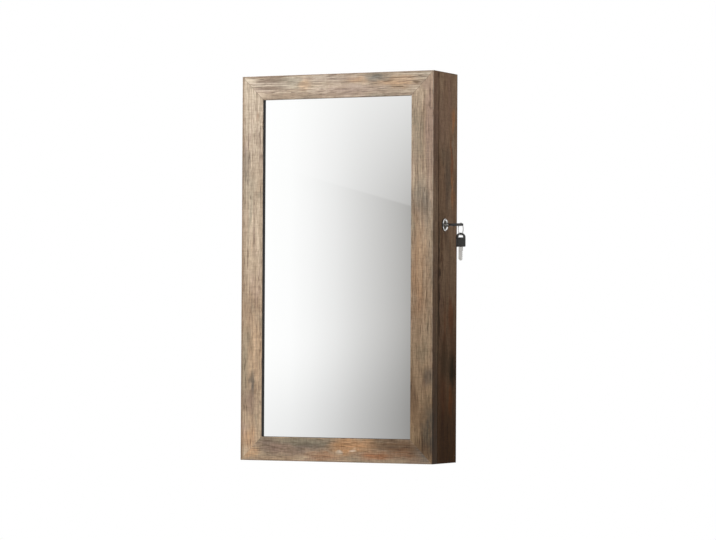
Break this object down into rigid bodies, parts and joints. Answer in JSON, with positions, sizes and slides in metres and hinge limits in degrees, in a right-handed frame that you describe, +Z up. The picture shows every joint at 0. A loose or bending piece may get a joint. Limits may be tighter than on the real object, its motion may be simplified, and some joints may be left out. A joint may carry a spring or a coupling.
{
  "type": "jewelry mirror cabinet",
  "caption": "Wall-hung jewelry cabinet: mirror door in a mitred wood-print frame, side cam lock with key and spare on a ring, velvet-lined inside.",
  "frame": {"origin": "midway between the two wall-screw holes, on the plane of the wall", "axes": "+X towards the lock side, +Y into the wall, +Z up; the mirror faces -Y"},
  "size_m": [0.4089, 0.099, 0.67],
  "materials": {
    "wood_print": "brown rustic wood print",
    "inner_board": "raw board",
    "velvet": "black velvet",
    "black_board": "black velvet-covered board",
    "lip_print": "brown wood print",
    "mirror": "silvered glass",
    "chrome": "bright chrome",
    "zinc": "zinc plated",
    "hinge_metal": "nickel plated steel",
    "key_metal": "nickel plated",
    "key_plastic": "black moulded plastic",
    "catch_plastic": "black plastic with magnet",
    "bumper": "soft felt or rubber"
  },
  "bodies": {
    "case": {"side_left": "wood_print", "side_right": "wood_print", "top_panel": "wood_print", "bottom_panel": "wood_print", "back_board": "inner_board", "hanging_rail": "inner_board", "low_rail": "inner_board", "lining_back": "velvet", "lining_walls": "velvet", "corner_dowels": "inner_board", "divider": "black_board", "lower_shelf": "black_board", "middle_shelf": "black_board", "upper_shelf": "black_board", "shelf_lips": "lip_print", "ring_tray": "black_board", "ring_roll_1": "velvet", "ring_roll_2": "velvet", "ring_roll_3": "velvet", "ring_roll_4": "velvet", "ring_roll_5": "velvet", "ring_roll_6": "velvet", "peg_rail": "black_board", "necklace_pegs": "chrome", "catch_magnet": "catch_plastic", "door_bumpers": "bumper", "hinge_case_leaf_upper": "hinge_metal", "hinge_case_leaf_lower": "hinge_metal", "hinge_pin_upper": "hinge_metal", "hinge_pin_lower": "hinge_metal", "hinge_case_screws": "zinc", "lock_body": "chrome", "lock_nut": "chrome"},
    "door": {"stile_left": "wood_print", "stile_right": "wood_print", "rail_top": "wood_print", "rail_bottom": "wood_print", "mirror_glass": "mirror", "door_board": "inner_board", "door_board_screws": "zinc", "lining_door": "velvet", "earring_bar_1": "black_board", "earring_bar_2": "black_board", "earring_bar_3": "black_board", "keeper": "zinc", "keeper_screws": "zinc", "catch_plate": "zinc", "hinge_door_leaf_upper": "hinge_metal", "hinge_door_leaf_lower": "hinge_metal", "hinge_door_screws": "zinc"},
    "lock": {"lock_plug": "chrome", "lock_cam": "zinc", "cam_screw": "zinc"},
    "key": {"key_head": "key_plastic", "key_blade": "key_metal"},
    "ring": {"key_ring": "key_metal"},
    "spare_key": {"spare_head": "key_plastic", "spare_blade": "key_metal"}
  },
  "joints": [
    {"name": "door_hinge", "type": "hinge", "parent": "case", "child": "door", "pos_m": [-0.1866, -0.0775, 0], "axis": [0, 0, -1], "range_deg": [0, 170]},
    {"name": "lock_turn", "type": "hinge", "parent": "case", "child": "lock", "pos_m": [0.184, -0.0524, -0.2198], "axis": [-1, 0, 0], "range_deg": [0, 90]},
    {"name": "key_withdraw", "type": "slide", "parent": "lock", "child": "key", "axis": [1, 0, 0], "range_m": [0, 0.03]},
    {"name": "ring_swing", "type": "hinge", "parent": "key", "child": "ring", "pos_m": [0.2118, -0.04575, -0.2198], "axis": [1, 0, 0], "range_deg": [-10, 100]},
    {"name": "spare_swing", "type": "hinge", "parent": "ring", "child": "spare_key", "pos_m": [0.2118, -0.04575, -0.2373], "axis": [0, -1, 0], "range_deg": [-12, 60]}
  ]
}
